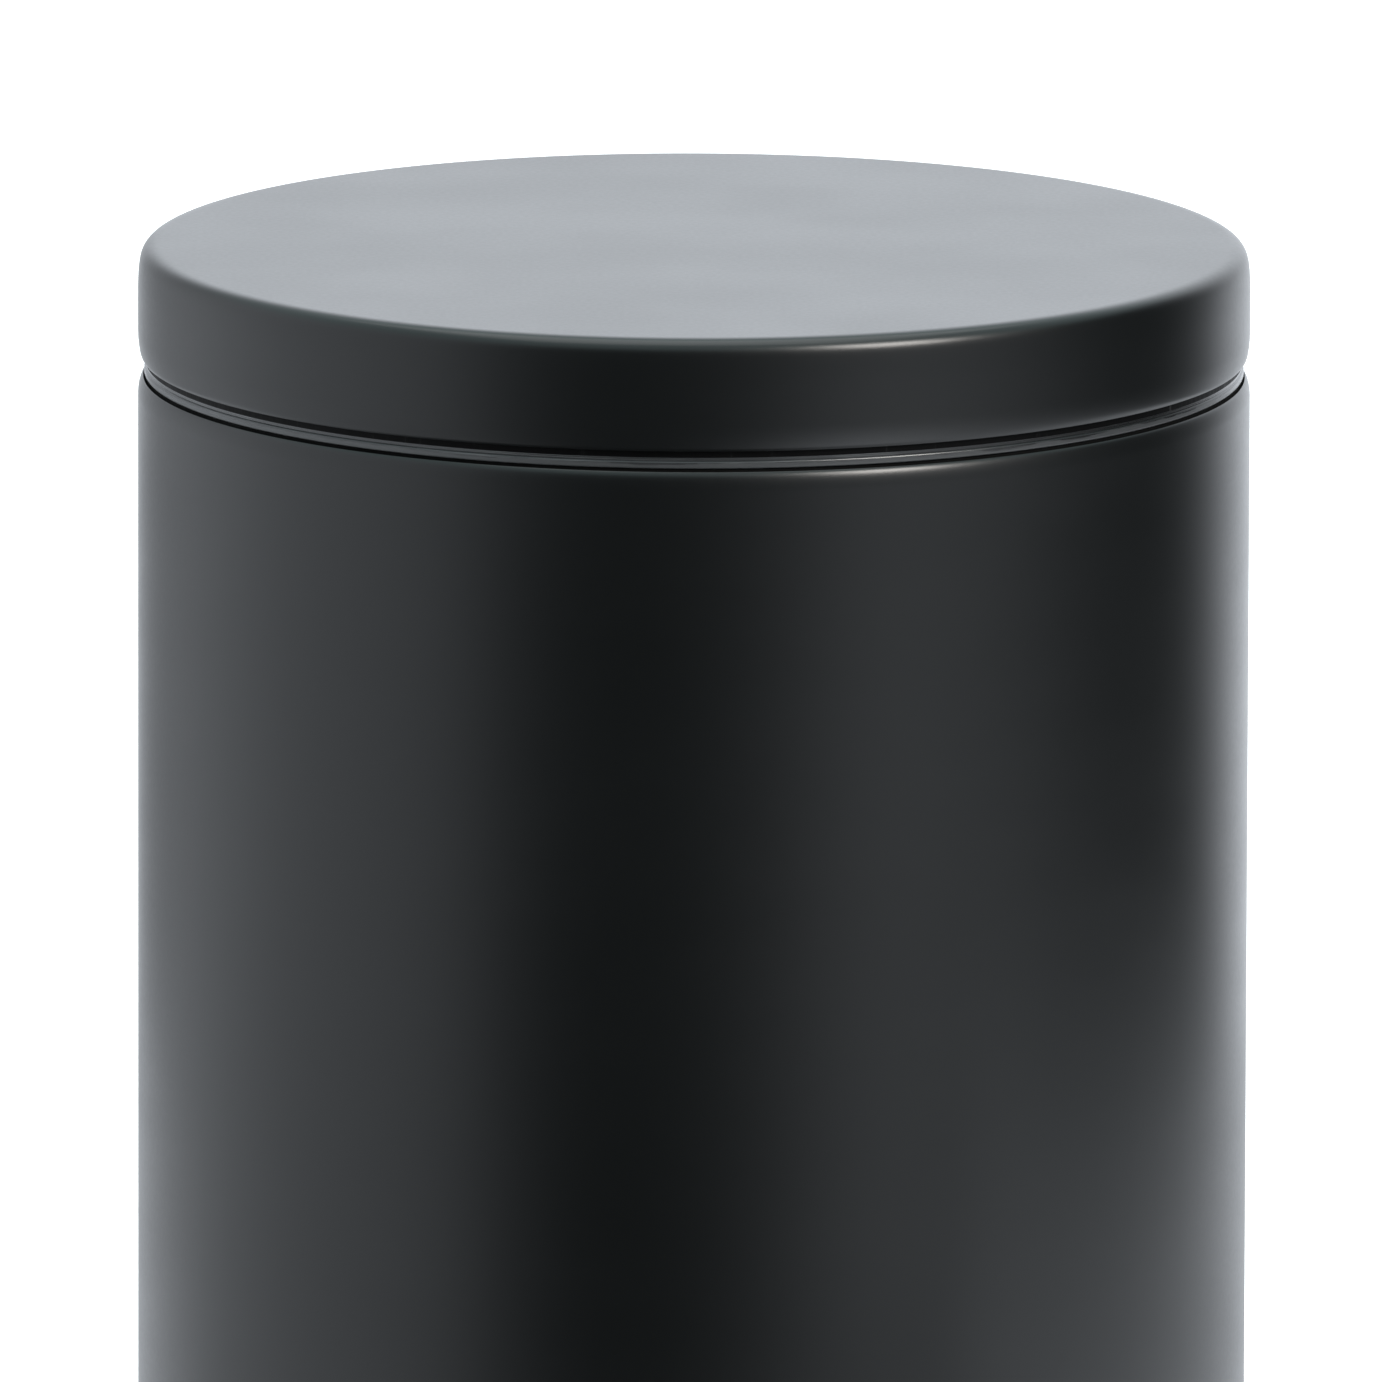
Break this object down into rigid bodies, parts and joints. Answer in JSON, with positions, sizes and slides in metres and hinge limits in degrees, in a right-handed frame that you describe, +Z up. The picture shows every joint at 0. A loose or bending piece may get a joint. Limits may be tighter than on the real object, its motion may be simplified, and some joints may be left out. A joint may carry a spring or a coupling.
{
  "type": "candle tin",
  "caption": "Tall round slip-lid candle tin in black enamelled tinplate: a plain wall, a collar with a curled rim set in its mouth, a double-seamed recessed base and a flush lift-off lid.",
  "frame": {"origin": "on the tin's axis, at the surface that the tin stands on, under the double seam's flat land", "axes": "+Z up along the tin's axis; the side weld is at +Y, so -Y is the plain front"},
  "size_m": [0.0818, 0.0818, 0.1],
  "materials": {
    "black_enamel": "satin black stoving enamel on tinplate",
    "black_varnish": "thin glossy black varnish on tinplate, finely scuffed round the circumference",
    "sealing_compound": "matte grey can-seam sealing compound"
  },
  "bodies": {
    "tin": {"body_wall": "black_enamel", "collar": "black_varnish", "base_end": "black_enamel", "seam_compound": "sealing_compound"},
    "lid": {"lid": "black_enamel"}
  },
  "joints": [
    {"name": "lid_lift", "type": "slide", "parent": "tin", "child": "lid", "axis": [0, 0, 1], "range_m": [0, 0.06]}
  ]
}
